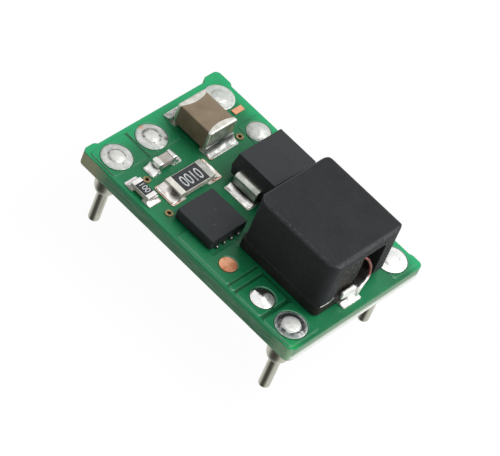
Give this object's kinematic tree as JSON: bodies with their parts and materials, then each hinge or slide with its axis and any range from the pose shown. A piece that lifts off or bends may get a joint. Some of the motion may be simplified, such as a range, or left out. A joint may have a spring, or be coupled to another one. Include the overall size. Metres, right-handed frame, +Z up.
{
  "type": "dc-dc converter module",
  "caption": "Open-frame step-down power module: green circuit board on through-hole pins with a shielded inductor, diode, controller, ceramic capacitors and chip resistors.",
  "frame": {"origin": "centre of the pin pattern, in the plane that the pins' stand-off collars seat on", "axes": "+X along the board towards the inductor, +Y across it towards the rear edge, +Z up, away from the pin tips"},
  "size_m": [0.0191, 0.0126, 0.0108],
  "materials": {
    "solder_mask": "semi-gloss green mask on laminate",
    "bare_copper": "bare copper foil",
    "tinned_pin": "dull tin plate",
    "solder": "bright tin solder",
    "via_plate": "mask-stained copper plate",
    "ferrite": "matt ground ferrite",
    "core_ferrite": "matt ferrite",
    "enamelled_wire": "clear red enamel on copper",
    "base_plastic": "matt moulding",
    "tinned_clip": "bright tin plate",
    "adhesive": "cured adhesive",
    "mould_compound": "matt moulding compound",
    "silicon": "silicon",
    "capacitor_ceramic": "matt fired ceramic",
    "bypass_ceramic": "matt fired ceramic",
    "tin_termination": "matt tin plate",
    "alumina": "matt alumina",
    "resistor_coat": "satin glass coat"
  },
  "bodies": {
    "root": {"board": "solder_mask", "copper_lands": "bare_copper", "pin_1": "tinned_pin", "pin_2": "tinned_pin", "pin_3": "tinned_pin", "pin_4": "tinned_pin", "pin_5": "tinned_pin", "pin_solder_1": "solder", "pin_solder_2": "solder", "pin_solder_3": "solder", "pin_solder_4": "solder", "pin_solder_5": "solder", "solder_dot_front": "solder", "solder_dot_rear": "solder", "via_left": "via_plate", "via_middle": "via_plate", "via_rear": "via_plate", "inductor_shield": "ferrite", "inductor_core": "core_ferrite", "inductor_winding": "enamelled_wire", "inductor_base": "base_plastic", "inductor_terminal_front": "tinned_clip", "inductor_terminal_rear": "tinned_clip", "inductor_adhesive": "adhesive", "inductor_solder": "solder", "diode_body": "mould_compound", "diode_die": "silicon", "diode_lead_front": "tinned_clip", "diode_lead_rear": "tinned_clip", "diode_solder": "solder", "controller_body": "mould_compound", "controller_die": "silicon", "controller_heat_pad": "tinned_clip", "controller_leads": "tinned_clip", "controller_solder": "solder", "input_capacitor_body": "capacitor_ceramic", "input_capacitor_end_left": "tin_termination", "input_capacitor_end_right": "tin_termination", "input_capacitor_solder": "solder", "bypass_capacitor_body": "bypass_ceramic", "bypass_capacitor_end_front": "tin_termination", "bypass_capacitor_end_rear": "tin_termination", "bypass_capacitor_solder": "solder", "sense_resistor_body": "alumina", "sense_resistor_coat": "resistor_coat", "sense_resistor_end_front": "tin_termination", "sense_resistor_end_rear": "tin_termination", "sense_resistor_solder": "solder", "set_resistor_body": "alumina", "set_resistor_coat": "resistor_coat", "set_resistor_end_left": "tin_termination", "set_resistor_end_right": "tin_termination", "set_resistor_solder": "solder"}
  },
  "joints": []
}
